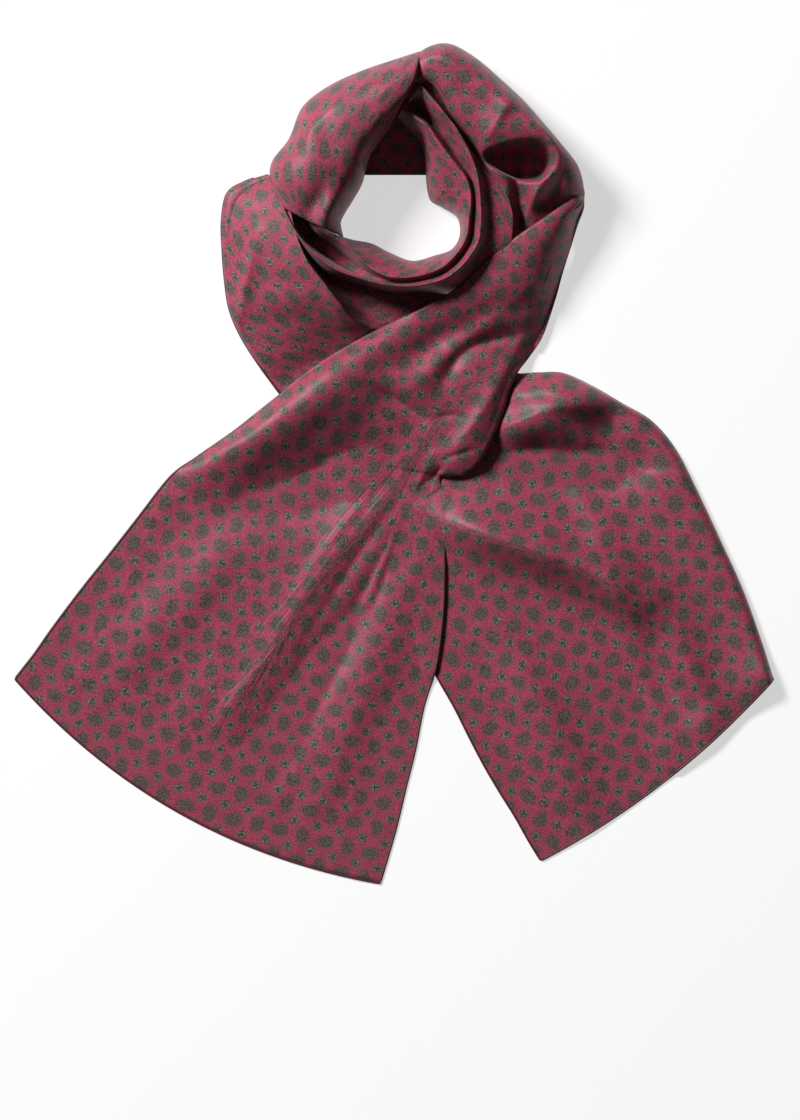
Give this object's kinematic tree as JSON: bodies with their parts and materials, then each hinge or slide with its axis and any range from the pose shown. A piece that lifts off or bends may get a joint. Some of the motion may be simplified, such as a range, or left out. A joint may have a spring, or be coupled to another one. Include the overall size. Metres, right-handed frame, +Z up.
{
  "type": "silk scarf",
  "caption": "Long narrow silk scarf laid flat in a loose loop, its two tails crossed below and spread on the surface.",
  "frame": {"origin": "on the surface the scarf lies on, below the middle of its outline", "axes": "+Z up from the surface, +Y towards the loop, +X towards the back tail's side, as in the picture"},
  "size_m": [0.5007, 0.5544, 0.0528],
  "materials": {
    "silk": "satin silk twill, small printed repeat on a crimson ground",
    "hem": "rolled silk hem in a darker shade"
  },
  "bodies": {
    "root": {"front_tail": "silk", "back_tail": "silk", "back_tail_turn": "silk", "left_shoulder": "silk", "loop_left": "silk", "loop_right": "silk", "loop_collar": "silk", "loop_inside": "silk", "hidden_layers": "silk"}
  },
  "joints": []
}
